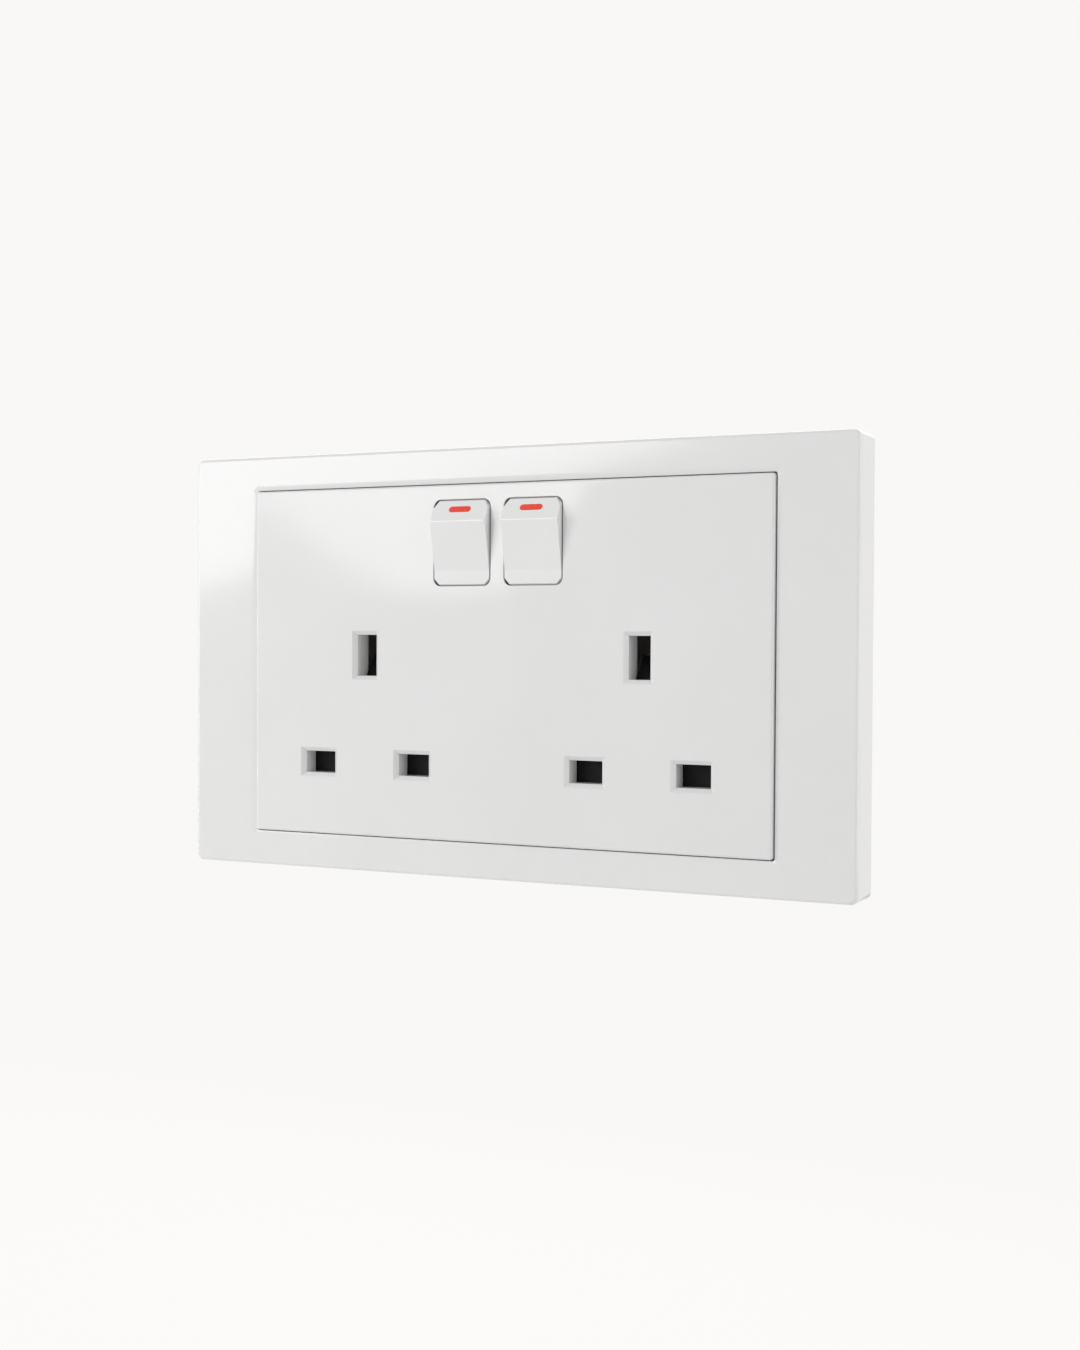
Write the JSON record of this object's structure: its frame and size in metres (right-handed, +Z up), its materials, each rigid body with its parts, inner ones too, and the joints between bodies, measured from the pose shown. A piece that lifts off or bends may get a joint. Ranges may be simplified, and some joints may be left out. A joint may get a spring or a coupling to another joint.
{
  "type": "twin wall socket",
  "caption": "Flat rectangular screwless wall socket with two shuttered three-pin outlets under two rocker switches.",
  "frame": {"origin": "midway between the two fixing slots, on the wall's surface", "axes": "+X to the viewer's right, +Y into the wall, +Z up"},
  "size_m": [0.146, 0.0308, 0.086],
  "materials": {
    "white_gloss": "satin gloss",
    "white_matte": "moulded matt",
    "dark_matte": "moulded matt",
    "red_gloss": "gloss",
    "zinc_steel": "zinc plated",
    "spring_steel": "drawn wire",
    "silver": "silver inlay",
    "brass": "stamped strip"
  },
  "bodies": {
    "base": {"trim_frame": "white_gloss", "socket_face": "white_gloss", "mounting_plate": "zinc_steel", "rear_housing": "white_matte", "neutral_bar": "brass", "live_feed_bar": "brass", "earth_bar": "brass", "terminal_screws": "zinc_steel", "assembly_screws": "zinc_steel", "neutral_terminal": "brass", "live_terminal": "brass", "left_earth_terminal": "brass", "right_earth_terminal": "brass", "left_shutter_spring": "spring_steel", "left_live_contact": "brass", "left_fixed_tip": "silver", "right_shutter_spring": "spring_steel", "right_live_contact": "brass", "right_fixed_tip": "silver"},
    "left_rocker_body": {"left_rocker": "white_gloss", "left_on_flag": "red_gloss", "left_plunger_spring": "spring_steel"},
    "left_plunger_body": {"left_plunger": "dark_matte"},
    "left_seesaw_body": {"left_switch_blade": "brass", "left_blade_tip": "silver"},
    "left_shutter_body": {"left_shutter": "dark_matte"},
    "right_rocker_body": {"right_rocker": "white_gloss", "right_on_flag": "red_gloss", "right_plunger_spring": "spring_steel"},
    "right_plunger_body": {"right_plunger": "dark_matte"},
    "right_seesaw_body": {"right_switch_blade": "brass", "right_blade_tip": "silver"},
    "right_shutter_body": {"right_shutter": "dark_matte"}
  },
  "joints": [
    {"name": "left_rocker_hinge", "type": "hinge", "parent": "base", "child": "left_rocker_body", "pos_m": [-0.00787, -0.0053, 0.024], "axis": [-1, 0, 0], "range_deg": [0, 14]},
    {"name": "left_plunger_slide", "type": "slide", "parent": "left_rocker_body", "child": "left_plunger_body", "axis": [0, -0.9925, -0.1219], "range_m": [0, 0.0008], "stiffness_N_per_m": 400, "springref_m": -0.001, "deforming": ["left_plunger_spring"]},
    {"name": "left_seesaw_hinge", "type": "hinge", "parent": "base", "child": "left_seesaw_body", "pos_m": [-0.00787, 0.0049, 0.024], "axis": [1, 0, 0], "range_deg": [0, 14]},
    {"name": "left_shutter_slide", "type": "slide", "parent": "base", "child": "left_shutter_body", "axis": [0, 0, -1], "range_m": [0, 0.0046], "stiffness_N_per_m": 120, "springref_m": -0.003, "deforming": ["left_shutter_spring"]},
    {"name": "right_rocker_hinge", "type": "hinge", "parent": "base", "child": "right_rocker_body", "pos_m": [0.00787, -0.0053, 0.024], "axis": [-1, 0, 0], "range_deg": [0, 14]},
    {"name": "right_plunger_slide", "type": "slide", "parent": "right_rocker_body", "child": "right_plunger_body", "axis": [0, -0.9925, -0.1219], "range_m": [0, 0.0008], "stiffness_N_per_m": 400, "springref_m": -0.001, "deforming": ["right_plunger_spring"]},
    {"name": "right_seesaw_hinge", "type": "hinge", "parent": "base", "child": "right_seesaw_body", "pos_m": [0.00787, 0.0049, 0.024], "axis": [1, 0, 0], "range_deg": [0, 14]},
    {"name": "right_shutter_slide", "type": "slide", "parent": "base", "child": "right_shutter_body", "axis": [0, 0, -1], "range_m": [0, 0.0046], "stiffness_N_per_m": 120, "springref_m": -0.003, "deforming": ["right_shutter_spring"]}
  ],
  "couplings": [
    {"joint": "left_seesaw_hinge", "follows": "left_rocker_hinge", "ratio": 1},
    {"joint": "right_seesaw_hinge", "follows": "right_rocker_hinge", "ratio": 1}
  ]
}
